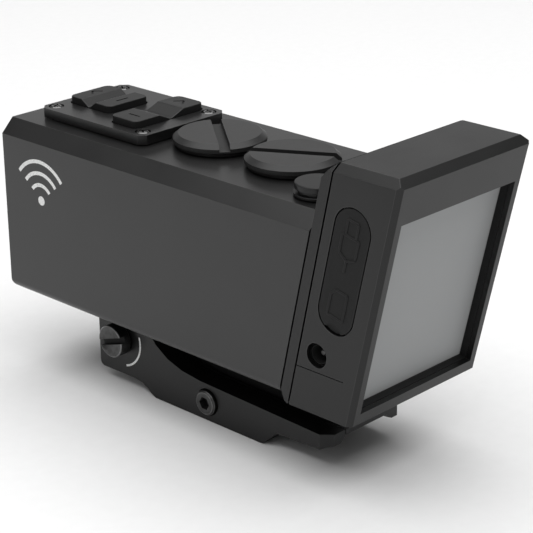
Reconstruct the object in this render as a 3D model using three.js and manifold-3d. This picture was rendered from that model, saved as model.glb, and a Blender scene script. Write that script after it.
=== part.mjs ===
// A compact speed radar that clamps to an accessory rail: a box housing with keys and two battery caps on
// top, a leaning display head behind it, and a quick-clamp mount below. Millimetres, +Z up, +Y towards the
// measured vehicle, +X to the unit's right. The origin is on the resting plane, under the middle of the box.
import * as THREE from "three";
import { mergeVertices } from "three/addons/utils/BufferGeometryUtils.js";
import Module from "manifold-3d";

const wasm = await Module();
wasm.setup();

// ---- Driving dimensions. Height zero lies 1.6 mm above the housing's underside. ----
const halfWidth = 25;
const gap = 0.3; // between pieces that touch on the real object
const wall = 2.5;
const lean = THREE.MathUtils.degToRad(12.9); // how far the display head leans back
const arcSteps = 2; // a quarter round has twice as many flats

const housing = { front: 49.4, top: 49, bottom: -1.6, rear: -57.85, bottomRadius: 2.6, topChamfer: 4 };
const flange = { front: -58.35, rear: -61.35, bevelStart: 59.6 };
const head = {
  front: -61.85, rear: -82.3, bottom: -3.34, top: 63.66, topInset: 3.1, topDrop: 2.1, wall: 2, bevel: 1.3,
};
const windowOpening = { half: 21.75, low: -0.37, high: 53.1 };
const keypad = { half: 15.95, rear: 0.75, front: 43.2, corner: 1.8, under: 49.3, top: 52 };
const rocker = { under: 49.65, pad: 53.95, valley: 52.2, pivot: 50.55, travelGap: 0.35, corner: 2, foot: 47.6 };
// The front key rocks fore and aft and its places are along Y; the rear key rocks sideways, along X.
const frontRocker = { low: 23.25, high: 40.5, padLow: 29.25, padHigh: 35, valley: 31.9, half: 7.5 };
const rearRocker = { low: -12.4, high: 13.5, padLow: -3.6, padHigh: 5.5, valley: 0.65, rear: 7.1, front: 17.6 };
const pin = { radius: 0.7, bore: 1, overhang: 1.7 };
const cap = { radius: 12.7, under: 50.4, bevelFoot: 51.5, top: 52.7, bevelInset: 1.5 };
const coinSlot = { width: 2.9, depth: 1.3 };
const skirt = { radius: 9.35, bore: 7.4, end: 45.3, grooveRadius: 8.4, grooveLow: 47.2, grooveHigh: 48.7 };
const batteryWells = [
  { name: "front", y: -12.7, slotAngle: 51 },
  { name: "rear", y: -39.45, slotAngle: -60 },
];
const tube = { radius: 10.7, bore: 8.9, threadBore: 9.75, threadStart: 44.5, floor: 5.5, lip: 11.9, lipTop: 50.1 };
const cell = { radius: 8.5, low: 10.3, high: 44.8 };
const button = { x: -12.7, y: -59.8, radius: 6.2, top: 52.75, skirtEnd: 51.1, baseTop: 50.1, stem: 2.2 };
const mount = { half: 15.2, front: 22.7, rear: -65.5, top: -1.9, foot: -24.75, channelTop: -16.65, split: -8.4 };
const clampScrew = { y: 13.7, z: -10.4, headRadius: 4.75, headHeight: 3.7, shank: 2.5, slotWidth: 1.8 };
const crossScrew = { y: -21.3, z: -19.2, headRadius: 3.6, proud: 1.3, headHeight: 3.3, shank: 1.85 };
const mountScrewsY = [5.5, -12, -45];
// In the display's frame: depth in front of its rear face, and height up the face.
const ports = { centre: 11.2, low: 24.05, high: 47.06, radius: 5.5 };
const jack = { depth: 14.38, up: 9.94, radius: 3.25 };

// ---- Solids: three.js geometry, joined and cut as manifolds ----
function toManifold(geometry) {
  const bare = geometry.clone();
  for (const name of ["normal", "uv"]) bare.deleteAttribute(name);
  const merged = mergeVertices(bare, 1e-4);
  const vertProperties = merged.attributes.position.array;
  const triVerts = new Uint32Array(merged.index.array);
  return new wasm.Manifold(new wasm.Mesh({ numProp: 3, vertProperties, triVerts }));
}

function toGeometry(manifold) {
  const { vertProperties, triVerts } = manifold.getMesh();
  const geometry = new THREE.BufferGeometry();
  geometry.setAttribute("position", new THREE.BufferAttribute(vertProperties, 3));
  geometry.setIndex(new THREE.BufferAttribute(triVerts, 1));
  return geometry;
}

function combine(operation, first, others) {
  return toGeometry(others.reduce((sum, other) => sum[operation](toManifold(other)), toManifold(first)));
}

const join = (first, ...others) => combine("add", first, others);
const cut = (first, ...others) => combine("subtract", first, others);
const common = (first, ...others) => combine("intersect", first, others);

// ---- Shapes ----
const box = (x0, x1, y0, y1, z0, z1) =>
  new THREE.BoxGeometry(x1 - x0, y1 - y0, z1 - z0).translate((x0 + x1) / 2, (y0 + y1) / 2, (z0 + z1) / 2);

// Round bars along Z, X and Y.
const barZ = (x, y, radius, z0, z1, sides = 16) =>
  new THREE.CylinderGeometry(radius, radius, z1 - z0, sides).rotateX(Math.PI / 2).translate(x, y, (z0 + z1) / 2);

const barX = (y, z, radius, x0, x1, sides = 20) =>
  new THREE.CylinderGeometry(radius, radius, x1 - x0, sides).rotateZ(Math.PI / 2).translate((x0 + x1) / 2, y, z);

const barY = (x, z, radius, y0, y1, sides = 20) =>
  new THREE.CylinderGeometry(radius, radius, y1 - y0, sides).translate(x, (y0 + y1) / 2, z);

const outline = (points) => new THREE.Shape(points.map(([a, b]) => new THREE.Vector2(a, b)));

function extrude(shape, depth, steps = arcSteps) {
  return new THREE.ExtrudeGeometry(shape, { depth, bevelEnabled: false, curveSegments: steps, steps: 1 });
}

const alongZ = (shape, z0, z1) => extrude(shape, z1 - z0).translate(0, 0, z0);

// A shape drawn in (x, z), carried from y0 to y1.
const alongY = (shape, y0, y1) => extrude(shape, y1 - y0).rotateX(Math.PI / 2).translate(0, y1, 0);

// A shape drawn in (y, z), carried from x0 to x1.
function alongX(shape, x0, x1, steps = arcSteps) {
  const axes = new THREE.Matrix4().makeBasis(
    new THREE.Vector3(0, 1, 0),
    new THREE.Vector3(0, 0, 1),
    new THREE.Vector3(1, 0, 0),
  );
  return extrude(shape, x1 - x0, steps).applyMatrix4(axes).translate(x0, 0, 0);
}

// A body of revolution about a vertical line; the profile closes on itself or on the axis.
function turned(profile, x, y, sides = 32) {
  const points = profile.map(([radius, z]) => new THREE.Vector2(radius, z));
  return new THREE.LatheGeometry(points, sides).rotateX(Math.PI / 2).translate(x, y, 0);
}

// The box section: rounded below, chamfered above.
function section(half, low, high, radius, chamfer) {
  const shape = new THREE.Shape();
  shape.moveTo(-half + radius, low);
  shape.lineTo(half - radius, low);
  shape.absarc(half - radius, low + radius, radius, -Math.PI / 2, 0, false);
  shape.lineTo(half, high - chamfer);
  shape.lineTo(half - chamfer, high);
  shape.lineTo(-half + chamfer, high);
  shape.lineTo(-half, high - chamfer);
  shape.lineTo(-half, low + radius);
  shape.absarc(-half + radius, low + radius, radius, Math.PI, Math.PI * 1.5, false);
  return shape;
}

function roundedRectangle(x0, x1, y0, y1, radius) {
  const shape = new THREE.Shape();
  shape.moveTo(x0 + radius, y0);
  shape.lineTo(x1 - radius, y0);
  shape.absarc(x1 - radius, y0 + radius, radius, -Math.PI / 2, 0, false);
  shape.lineTo(x1, y1 - radius);
  shape.absarc(x1 - radius, y1 - radius, radius, 0, Math.PI / 2, false);
  shape.lineTo(x0 + radius, y1);
  shape.absarc(x0 + radius, y1 - radius, radius, Math.PI / 2, Math.PI, false);
  shape.lineTo(x0, y0 + radius);
  shape.absarc(x0 + radius, y0 + radius, radius, Math.PI, Math.PI * 1.5, false);
  return shape;
}

// ---- The lean: planes parallel to the display, and places on them ----
const leaned = (y, z) => y - Math.tan(lean) * z;

// Everything between two leaning planes, given where they cross height zero.
function slab(front, rear, low = -10, high = 80) {
  const corners = [
    [leaned(front, low), low],
    [leaned(front, high), high],
    [leaned(rear, high), high],
    [leaned(rear, low), low],
  ];
  return alongX(outline(corners), -40, 40);
}

// Moves geometry drawn in the display's own frame (x, depth in front of the rear face, height up the face).
const onDisplay = (geometry) => geometry.rotateX(lean).translate(0, head.rear, 0);

// The (y, z) of a place in the display's frame.
function displayPoint(depth, up) {
  return [
    head.rear + depth * Math.cos(lean) - up * Math.sin(lean),
    depth * Math.sin(lean) + up * Math.cos(lean),
  ];
}

// ---- The part ----
const unit = new THREE.Group();
const display = new THREE.Group(); // the pieces stacked behind the screen
display.rotation.x = lean;
display.position.y = head.rear;
unit.add(display);

const finish = (color, roughness, metalness) =>
  new THREE.MeshStandardMaterial({ color, roughness, metalness, flatShading: true });
const finishes = {
  anodised: finish(0x2b2b2d, 0.5, 0.6),
  anodisedDark: finish(0x1c1c1e, 0.55, 0.5),
  steel: finish(0xa8aaad, 0.3, 1),
  rubber: finish(0x1a1a1b, 0.85, 0),
  plastic: finish(0x151516, 0.6, 0),
  glass: finish(0x8d9296, 0.15, 0),
  board: finish(0x1e5a34, 0.6, 0),
  shield: finish(0xb8babd, 0.4, 0.9),
  cell: finish(0xd8dadb, 0.4, 0.1),
  gold: finish(0xc9a04a, 0.35, 1),
};

function add(name, geometry, material, group = unit) {
  const mesh = new THREE.Mesh(geometry, material);
  mesh.name = name;
  group.add(mesh);
}

// A straight row of wire turns, as one closed body.
function coil(x, y, radius, wire, low, high, turns) {
  class Helix extends THREE.Curve {
    getPoint(t) {
      const angle = t * turns * 2 * Math.PI;
      const z = low + wire + t * (high - low - 2 * wire);
      return new THREE.Vector3(x + radius * Math.cos(angle), y + radius * Math.sin(angle), z);
    }
  }
  const wireSection = new THREE.Shape();
  wireSection.absarc(0, 0, wire, 0, 2 * Math.PI, false);
  return new THREE.ExtrudeGeometry(wireSection, {
    extrudePath: new Helix(),
    steps: Math.round(turns * 10),
    curveSegments: 3,
    bevelEnabled: false,
  });
}

// Places that several pieces share.
const corners = (x, ys) => ys.flatMap((y) => [-x, x].map((side) => [side, y]));
const keypadScrews = corners(12.4, [4.3, 40.2]);
const flangeScrews = corners(18.6, [2.1, 39]); // (x, height up the display's frame)
const flangeScrew = { head: 2.5, shank: 1.5, hole: 1.85, length: 12 };
const sideMargin = 15; // how far a cutting shape reaches past the unit's side

// A bar through the flange and into the housing, square to the flange.
const flangeBar = (x, up, radius, from, to) => onDisplay(barY(x, up, radius, from, to, 12));
const flangeRearDepth = (flange.rear - head.rear) * Math.cos(lean);

function addHousing() {
  const { hole, length } = flangeScrew;
  const sides = alongX(
    outline([
      [leaned(housing.rear, -3), -3],
      [housing.front, -3],
      [housing.front, 60],
      [leaned(housing.rear, 60), 60],
    ]),
    -halfWidth - sideMargin,
    halfWidth + sideMargin,
  );
  const outer = section(halfWidth, housing.bottom, housing.top, housing.bottomRadius, housing.topChamfer);
  // The floor is thicker than the walls, because the mount screws bite into it.
  const inner = section(halfWidth - wall, wall, housing.top - wall, 1.5, 3);
  const ledge = alongY(section(halfWidth - wall + 0.2, 2.3, 46.7, 1.5, 3), 42, 44.1);
  const ledgeHole = alongY(section(19.5, 5.5, 43.5, 1, 1), 41, 45);
  const posts = [-1, 1].flatMap((side) =>
    [[2, 11], [37.5, 47]].map(([low, high]) => {
      const xs = [side * 16.2, side * 23].sort((a, b) => a - b);
      return box(xs[0], xs[1], -75, -46, low, high);
    }),
  );
  const bosses = mountScrewsY.map((y) => barZ(0, y, 4.2, 2, 5));
  const shell = cut(alongY(outer, -80, housing.front), alongY(inner, -90, 60));
  const filled = common(join(shell, cut(ledge, ledgeHole), ...posts, ...bosses), sides);
  const frontWindow = box(-8, 8, frontRocker.low - 0.5, frontRocker.high + gap, 45, 50);
  const rearAcross = [rearRocker.low - 0.5, rearRocker.high + 0.5];
  const rearWindow = box(...rearAcross, rearRocker.rear - gap, rearRocker.front + gap, 45, 50);
  const body = cut(
    filled,
    ...batteryWells.map(({ y }) => barZ(0, y, tube.radius + gap, 40, 50, 24)),
    frontWindow,
    rearWindow,
    ...keypadScrews.map(([x, y]) => barZ(x, y, 1.35, 45, 50, 8)),
    barZ(button.x, button.y, button.stem + 0.4, 45, 50, 20),
    ...mountScrewsY.map((y) => barZ(0, y, 2.4, -3, 4.5, 20)),
    ...flangeScrews.map(([x, up]) => flangeBar(x, up, hole, flangeRearDepth, flangeRearDepth + length + 2)),
  );
  add("housing", body, finishes.anodised);
}

function addFront() {
  const lens = { z: 36.8, radius: 7 };
  const radome = { half: 16.5, low: 7, high: 26.5 };
  const hole = alongY(roundedRectangle(-radome.half, radome.half, radome.low, radome.high, 2), 44, 50);
  const plate = alongY(section(halfWidth - wall - gap, 2.8, 46.2, 1.3, 2.8), 45.4, 48.4);
  const lensHole = barY(0, lens.z, lens.radius + gap, 44, 50, 28);
  const lensStep = barY(0, lens.z, lens.radius + 1, 46.6, 50, 28);
  add("front_cover", cut(plate, hole, lensHole, lensStep), finishes.anodisedDark);
  const inset = roundedRectangle(-radome.half + gap, radome.half - gap, radome.low + gap, radome.high - gap, 1.7);
  add("radome", alongY(inset, 45.6, 47.9), finishes.plastic);
  add("camera_window", barY(0, lens.z, lens.radius + 0.7, 46.9, 48, 28), finishes.glass);
  const seal = alongY(section(halfWidth - wall - gap, 2.8, 46.2, 1.3, 2.8), 44.4, 45.1);
  add("front_gasket", cut(seal, alongY(section(20.2, 4.8, 44.2, 1, 1.5), 44, 46)), finishes.rubber);

  const patches = [0, 1, 2, 3].flatMap((column) =>
    [0, 1].map((row) => {
      const x = -11.25 + 7.5 * column;
      const z = 12 + 9.5 * row;
      return box(x - 2.5, x + 2.5, 43.9, 44.3, z - 2.5, z + 2.5);
    }),
  );
  add("radar_antenna", join(box(-17.5, 17.5, 42.6, 44, 6.8, 26.8), ...patches), finishes.gold);
  const can = box(-13, 13, 34, 42, 8, 25.6);
  add("radar_transceiver", join(can, box(-11.5, 11.5, 32.8, 34.5, 9.5, 24)), finishes.shield);
  const barrel = join(barY(0, lens.z, 6.6, 33, 41, 24), barY(0, lens.z, 5.2, 40, 46.4, 24));
  add("camera_module", join(barrel, box(-9, 9, 31.8, 33.2, 29.6, 44)), finishes.plastic);
}

function addBatteryWell({ name, y, slotAngle }) {
  const { radius, bore, threadBore, threadStart, floor, lip, lipTop } = tube;
  const tubeProfile = [
    [0, floor],
    [radius, floor],
    [radius, housing.top + gap],
    [lip, housing.top + gap],
    [lip, lipTop],
    [threadBore, lipTop],
    [threadBore, threadStart],
    [bore, threadStart],
    [bore, floor + 1.5],
    [0, floor + 1.5],
  ];
  add(name + "_battery_tube", turned(tubeProfile, 0, y, 24), finishes.anodisedDark);
  add(name + "_battery_spring", coil(0, y, 4.2, 0.35, floor + 1.5 + gap, cell.low - gap, 2.5), finishes.steel);
  const cellProfile = [
    [0, cell.low],
    [cell.radius - 0.4, cell.low],
    [cell.radius, cell.low + 0.4],
    [cell.radius, cell.high - 0.4],
    [cell.radius - 0.4, cell.high],
    [3.2, cell.high],
    [3.2, cell.high + 1],
    [0, cell.high + 1],
  ];
  add(name + "_battery", turned(cellProfile, 0, y, 18), finishes.cell);

  const capProfile = [
    [0, cap.under - 0.4],
    [skirt.bore, cap.under - 0.4],
    [skirt.bore, skirt.end],
    [skirt.radius, skirt.end],
    [skirt.radius, skirt.grooveLow],
    [skirt.grooveRadius, skirt.grooveLow],
    [skirt.grooveRadius, skirt.grooveHigh],
    [skirt.radius, skirt.grooveHigh],
    [skirt.radius, cap.under],
    [cap.radius, cap.under],
    [cap.radius, cap.bevelFoot],
    [cap.radius - cap.bevelInset, cap.top],
    [0, cap.top],
  ];
  const slot = box(-20, 20, -coinSlot.width / 2, coinSlot.width / 2, cap.top - coinSlot.depth, cap.top + 1);
  slot.rotateZ(THREE.MathUtils.degToRad(slotAngle)).translate(0, y, 0);
  add(name + "_battery_cap", cut(turned(capProfile, 0, y, 30), slot), finishes.anodised);

  const ring = { radius: 9.1, wire: 0.4, z: (skirt.grooveLow + skirt.grooveHigh) / 2 };
  const seal = new THREE.TorusGeometry(ring.radius, ring.wire, 5, 20).translate(0, y, ring.z);
  add(name + "_cap_seal", seal, finishes.rubber);
}

// A two-way key seen from its side: two flat pads with a valley between them.
function rockerProfile({ low, high, padLow, padHigh, valley }) {
  return outline([
    [low, rocker.under],
    [high, rocker.under],
    [high, rocker.pad],
    [padHigh, rocker.pad],
    [valley + 0.35, rocker.valley],
    [valley - 0.35, rocker.valley],
    [padLow, rocker.pad],
    [low, rocker.pad],
  ]);
}

function addKeypad() {
  const front = frontRocker;
  const rear = rearRocker;
  const frontCentre = (front.low + front.high) / 2;
  const rearCentre = (rear.low + rear.high) / 2;
  const rearMiddle = (rear.rear + rear.front) / 2;
  const room = rocker.travelGap;

  const plate = outline([
    [-keypad.half + keypad.corner, keypad.rear],
    [keypad.half - keypad.corner, keypad.rear],
    [keypad.half, keypad.rear + keypad.corner],
    [keypad.half, keypad.front - keypad.corner],
    [keypad.half - keypad.corner, keypad.front],
    [-keypad.half + keypad.corner, keypad.front],
    [-keypad.half, keypad.front - keypad.corner],
    [-keypad.half, keypad.rear + keypad.corner],
  ]);
  const reach = front.half + pin.overhang;
  const frontBore = barX(frontCentre, rocker.pivot, pin.bore, -reach - gap, reach + gap, 12);
  const pinEnds = [rear.rear - pin.overhang, rear.front + pin.overhang];
  const rearBore = barY(rearCentre, rocker.pivot, pin.bore, pinEnds[0] - gap, pinEnds[1] + gap, 12);
  const keyPlan = (x0, x1, y0, y1, margin) =>
    roundedRectangle(x0 - margin, x1 + margin, y0 - margin, y1 + margin, rocker.corner + margin);
  const frontPlan = (margin) => keyPlan(-front.half, front.half, front.low, front.high, margin);
  const rearPlan = (margin) => keyPlan(rear.low, rear.high, rear.rear, rear.front, margin);
  add(
    "keypad_plate",
    cut(
      alongZ(plate, keypad.under, keypad.top),
      alongZ(frontPlan(room), 48, 53),
      alongZ(rearPlan(room), 48, 53),
      frontBore,
      rearBore,
      ...keypadScrews.flatMap(([x, y]) => [barZ(x, y, 1.35, 48, 53, 8), barZ(x, y, 2.2, 50.6, 53, 14)]),
    ),
    finishes.anodised,
  );

  const foot = (x, y) => barZ(x, y, 1.2, rocker.foot, rocker.under + 0.5, 12);
  const frontFeet = [-6.5, 6.5].map((offset) => foot(0, frontCentre + offset));
  const frontSide = alongX(rockerProfile(front), -front.half - 1, front.half + 1);
  const frontKey = common(frontSide, alongZ(frontPlan(0), 49, 55));
  add("front_rocker_key", cut(join(frontKey, ...frontFeet), frontBore), finishes.anodisedDark);

  const rearFeet = [-9.5, 9.5].map((offset) => foot(rearCentre + offset, rearMiddle));
  const rearSide = alongY(rockerProfile(rear), rear.rear - 1, rear.front + 1);
  const rearKey = common(rearSide, alongZ(rearPlan(0), 49, 55));
  add("rear_rocker_key", cut(join(rearKey, ...rearFeet), rearBore), finishes.anodisedDark);

  add("front_rocker_pin", barX(frontCentre, rocker.pivot, pin.radius, -reach, reach, 10), finishes.steel);
  const rearPin = barY(rearCentre, rocker.pivot, pin.radius, ...pinEnds, 10);
  add("rear_rocker_pin", rearPin, finishes.steel);

  const domes = [
    ...[-6.5, 6.5].map((offset) => [0, frontCentre + offset]),
    ...[-9.5, 9.5].map((offset) => [rearCentre + offset, rearMiddle]),
  ].map(([x, y]) => barZ(x, y, 2, 46, 46.7, 12));
  add("keypad_board", join(box(-12.3, 12.3, 4.6, 41, 44.9, 46.1), ...domes), finishes.board);

  keypadScrews.forEach(([x, y], index) => {
    const screw = join(barZ(x, y, 1.9, 50.9, 52.15, 14), barZ(x, y, 1, 46.8, 51.5, 8));
    const recess = [
      box(x - 1.2, x + 1.2, y - 0.25, y + 0.25, 51.4, 53),
      box(x - 0.25, x + 0.25, y - 1.2, y + 1.2, 51.4, 53),
    ];
    add("keypad_screw_" + (index + 1), cut(screw, ...recess), finishes.steel);
  });
}

function addPowerButton() {
  const { x, y, radius, top, skirtEnd, baseTop, stem } = button;
  const collarProfile = [
    [3.9, housing.top + gap],
    [radius, housing.top + gap],
    [radius, baseTop],
    [5.1, baseTop],
    [5.1, baseTop + 0.9],
    [3.9, baseTop + 0.9],
    [3.9, housing.top + gap],
  ];
  add("power_button_collar", turned(collarProfile, x, y, 24), finishes.anodisedDark);
  const capProfile = [
    [0, 44.7],
    [stem, 44.7],
    [stem, top - 0.85],
    [5.5, top - 0.85],
    [5.5, skirtEnd],
    [radius, skirtEnd],
    [radius, top - 0.3],
    [radius - 0.3, top],
    [0, top],
  ];
  add("power_button", turned(capProfile, x, y, 24), finishes.anodisedDark);
  add("power_button_spring", coil(x, y, 3.15, 0.32, housing.top + gap, top - 0.85 - gap, 2.5), finishes.steel);
  const body = box(x - 3.2, x + 3.2, y - 3.2, y + 3.2, 38.5, 43);
  add("power_switch", join(body, barZ(x, y, 1.4, 42.5, 43.6, 12)), finishes.plastic);
}

function addElectronics() {
  const chips = [
    [-36, -26, 12, 22],
    [-20, -8, 24, 36],
    [0, 9, 12, 21],
    [14, 24, 26, 36],
  ].map(([y0, y1, z0, z1]) => box(16.2, 17.8, y0, y1, z0, z1));
  add("main_board", join(box(17.5, 19.1, -43, 29, 7.5, 41), ...chips), finishes.board);
}

function addFlange() {
  const profile = alongX(
    outline([
      [leaned(flange.front, 0), 0],
      [leaned(flange.front, flange.bevelStart), flange.bevelStart],
      [leaned(flange.rear, head.top) + 0.35, head.top],
      [leaned(flange.rear, head.top), head.top],
      [leaned(flange.rear, head.bottom), head.bottom],
      [flange.front - 1.15, -2.85],
      [flange.front - 0.4, -1.9],
    ]),
    -halfWidth - sideMargin,
    halfWidth + sideMargin,
  );
  const body = common(profile, headFront());
  const groove = cut(
    alongY(section(24.45, 0.55, 48.45, 2.8, 3.6), -80, -50),
    alongY(section(22.95, 2.05, 46.95, 1.8, 3), -81, -49),
  );
  const cableWindow = onDisplay(box(-12, 12, 15, 25, 8, 32));
  const holes = flangeScrews.map(([x, up]) => flangeBar(x, up, flangeScrew.hole, 15, 26));
  add("rear_flange", cut(body, common(groove, slab(-50, -59.5)), cableWindow, ...holes), finishes.anodised);

  const seal = cut(
    alongY(section(24.15, 0.85, 48.15, 2.6, 3.5), -80, -50),
    alongY(section(23.25, 1.75, 47.25, 1.9, 3.1), -81, -49),
  );
  add("flange_gasket", common(seal, slab(-58.15, -59.2)), finishes.rubber);

  flangeScrews.forEach(([x, up], index) => {
    const from = flangeRearDepth - gap;
    const screw = join(
      flangeBar(x, up, flangeScrew.head, from - 2, from),
      flangeBar(x, up, flangeScrew.shank, from - 0.5, from + flangeScrew.length),
    );
    add("flange_screw_" + (index + 1), screw, finishes.steel);
  });
}

// The head and flange seen from behind, with chamfered top corners.
function headFront() {
  return alongY(
    outline([
      [-halfWidth, head.bottom],
      [halfWidth, head.bottom],
      [halfWidth, head.top - head.topDrop],
      [halfWidth - head.topInset, head.top],
      [-halfWidth + head.topInset, head.top],
      [-halfWidth, head.top - head.topDrop],
    ]),
    -110,
    -50,
  );
}

// The port panel's side outline, grown by a margin for its opening.
function panelOutline(margin) {
  const low = 8.55 - margin;
  const high = 57 + margin;
  const rearDepth = 5.05 - margin;
  const rearAtZero = head.rear + rearDepth / Math.cos(lean);
  const front = head.front + 2 * margin;
  return outline([
    [leaned(rearAtZero, low), low],
    [leaned(front, low), low],
    [leaned(front, high), high],
    [leaned(rearAtZero, high), high],
  ]);
}

function addHead() {
  const profile = alongX(
    outline([
      [leaned(head.front, head.bottom), head.bottom],
      [leaned(head.front, head.top), head.top],
      [leaned(head.rear, head.top - head.topDrop) + 2, head.top],
      [leaned(head.rear, head.top - head.topDrop), head.top - head.topDrop],
      [leaned(head.rear, head.bottom), head.bottom],
    ]),
    -halfWidth - sideMargin,
    halfWidth + sideMargin,
  );
  const plan = outline([
    [-halfWidth, 30],
    [-halfWidth, head.bevel],
    [-halfWidth + head.bevel, 0],
    [halfWidth - head.bevel, 0],
    [halfWidth, head.bevel],
    [halfWidth, 30],
  ]);
  const bevelled = onDisplay(alongZ(plan, -20, 80));
  const insideRear = head.rear + 1.5 / Math.cos(lean);
  const inside = alongX(
    outline([
      [leaned(insideRear, -1.5), -1.5],
      [-40, -1.5],
      [-40, 61.7],
      [leaned(insideRear, 61.7), 61.7],
    ]),
    -halfWidth + head.wall,
    halfWidth - head.wall,
  );
  const opening = onDisplay(
    box(-windowOpening.half, windowOpening.half, -5, 5, windowOpening.low, windowOpening.high),
  );
  const panelOpening = alongX(panelOutline(gap), -26, -22);
  add("display_head", cut(common(profile, headFront(), bevelled), inside, opening, panelOpening), finishes.anodised);

  const seal = cut(
    alongY(roundedRectangle(-22.7, 22.7, -1.2, 61.4, 1), -80, -55),
    alongY(roundedRectangle(-21.6, 21.6, -0.1, 60.3, 0.8), -81, -54),
  );
  add("head_gasket", common(seal, slab(flange.rear - gap, flange.rear - 1.6)), finishes.rubber);
}

function addDisplayStack() {
  const { half, low, high } = windowOpening;
  const mask = box(-22.7, 22.7, 1.8, 3.6, -1.3, 55.5);
  const maskHole = box(-half + 0.1, half - 0.1, 1, 5, low + 0.1, high - 0.1);
  add("window_mask", cut(mask, maskHole), finishes.plastic, display);
  add("display_window", box(-22.6, 22.6, 3.9, 5.2, -1.2, 55.3), finishes.glass, display);
  const panel = join(box(-22.2, 22.2, 5.6, 8.4, -0.8, 54.6), box(-20.5, 20.5, 8, 9.4, 1, 53));
  add("lcd_panel", panel, finishes.plastic, display);
  const parts = [
    [-4, 8, 18, 30],
    [4, 16, 34, 42],
    [12, 20, 20, 28],
  ].map(([x0, x1, z0, z1]) => box(x0, x1, 11.2, 12.8, z0, z1));
  add("display_board", join(box(-21.8, 21.8, 9.9, 11.3, 15.4, 53), ...parts), finishes.board, display);
}

function addPorts() {
  const { centre, low, high, radius } = ports;
  const face = -halfWidth;
  // A stadium in the display's frame, carried along X.
  const stadium = (size, x0, x1) => {
    const shape = new THREE.Shape();
    shape.absarc(0, high, size, 0, Math.PI, false);
    shape.absarc(0, low, size, Math.PI, 2 * Math.PI, false);
    return onDisplay(alongX(shape, x0, x1, 7).translate(0, centre, 0));
  };
  const sockets = { near: 11.6, far: 15.4 };
  const usb = { low: 40, high: 48.6 };
  const card = { low: 22.2, high: 35.8, far: 14.2 };
  const usbSlot = onDisplay(box(-26, -22, 12, 15, usb.low + 0.5, usb.high - 0.5));
  const cardSlot = onDisplay(box(-26, -22, 12.1, 13.7, card.low + 0.7, card.high - 0.7));
  const [jackY, jackZ] = displayPoint(jack.depth, jack.up);
  add(
    "port_panel",
    cut(
      alongX(panelOutline(0), face, face + head.wall),
      stadium(radius + gap, face - 1, face + 1.3),
      usbSlot,
      cardSlot,
      barX(jackY, jackZ, jack.radius, -26, -22, 28),
    ),
    finishes.anodised,
  );
  add("port_cover", stadium(radius, face + 0.02, face + 1), finishes.rubber);

  const usbBody = box(-22.7, -15, sockets.near, sockets.far, usb.low, usb.high);
  const usbMouth = box(-24, -17, sockets.near + 0.5, sockets.far - 0.5, usb.low + 0.5, usb.high - 0.5);
  const tongue = box(-22, -16.5, 13.2, 13.8, usb.low + 1.6, usb.high - 1.6);
  add("usb_socket", join(cut(usbBody, usbMouth), tongue), finishes.steel, display);
  const cardBody = box(-22.7, -7, sockets.near, card.far, card.low, card.high);
  const cardMouth = box(-24, -8, sockets.near + 0.5, card.far - 0.5, card.low + 0.7, card.high - 0.7);
  add("card_socket", cut(cardBody, cardMouth), finishes.steel, display);
  const corner = outline([[-22.9, 23.4], [-9, 23.4], [-9, 32.6], [-10.5, 34.2], [-22.9, 34.2]]);
  add("memory_card", alongY(corner, 12.5, 13.3), finishes.plastic, display);

  const barrel = join(barX(jackY, jackZ, 2.95, -23.9, -20, 28), barX(jackY, jackZ, 4.1, -22.7, -12, 28));
  const bore = barX(jackY, jackZ, 2.45, -24.5, -14, 28);
  add("dc_jack", cut(barrel, bore, barX(jackY, jackZ, 1.25, -15, -11, 12)), finishes.plastic);
  add("dc_jack_pin", barX(jackY, jackZ, 0.95, -22.6, -11, 12), finishes.steel);
}

// The mount seen from its side: a tall front boss, a clamp foot under the middle and a low tail.
function mountOutline() {
  const shape = new THREE.Shape();
  const radius = 1.6;
  shape.moveTo(2.9, mount.top);
  shape.lineTo(mount.front, mount.top);
  shape.lineTo(mount.front, -21.4 + radius);
  shape.absarc(mount.front - radius, -21.4 + radius, radius, 0, -Math.PI / 2, true);
  shape.lineTo(8, -21.3);
  shape.bezierCurveTo(3, -21.3, 2.6, -24, -0.3, mount.foot);
  shape.lineTo(-40.6, mount.foot);
  shape.quadraticCurveTo(-42.2, mount.foot, -43.2, -23.6);
  shape.lineTo(-47.3, -20);
  shape.lineTo(mount.rear + 2.8, -19.3);
  shape.lineTo(mount.rear, -18.4);
  shape.lineTo(mount.rear, -15.1);
  shape.lineTo(-18.5, -13.75);
  shape.bezierCurveTo(-8, -13.3, -1.6, -10.2, 2.3, -4.6);
  return shape;
}

// One side of the rail channel, as (distance from the middle, height) from the roof down to the foot.
const hookProfile = [
  [8.4, mount.channelTop],
  [11.25, -19.5],
  [11.25, -20.2],
  [8.7, -22.75],
  [8.7, mount.foot - 1],
];

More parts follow.
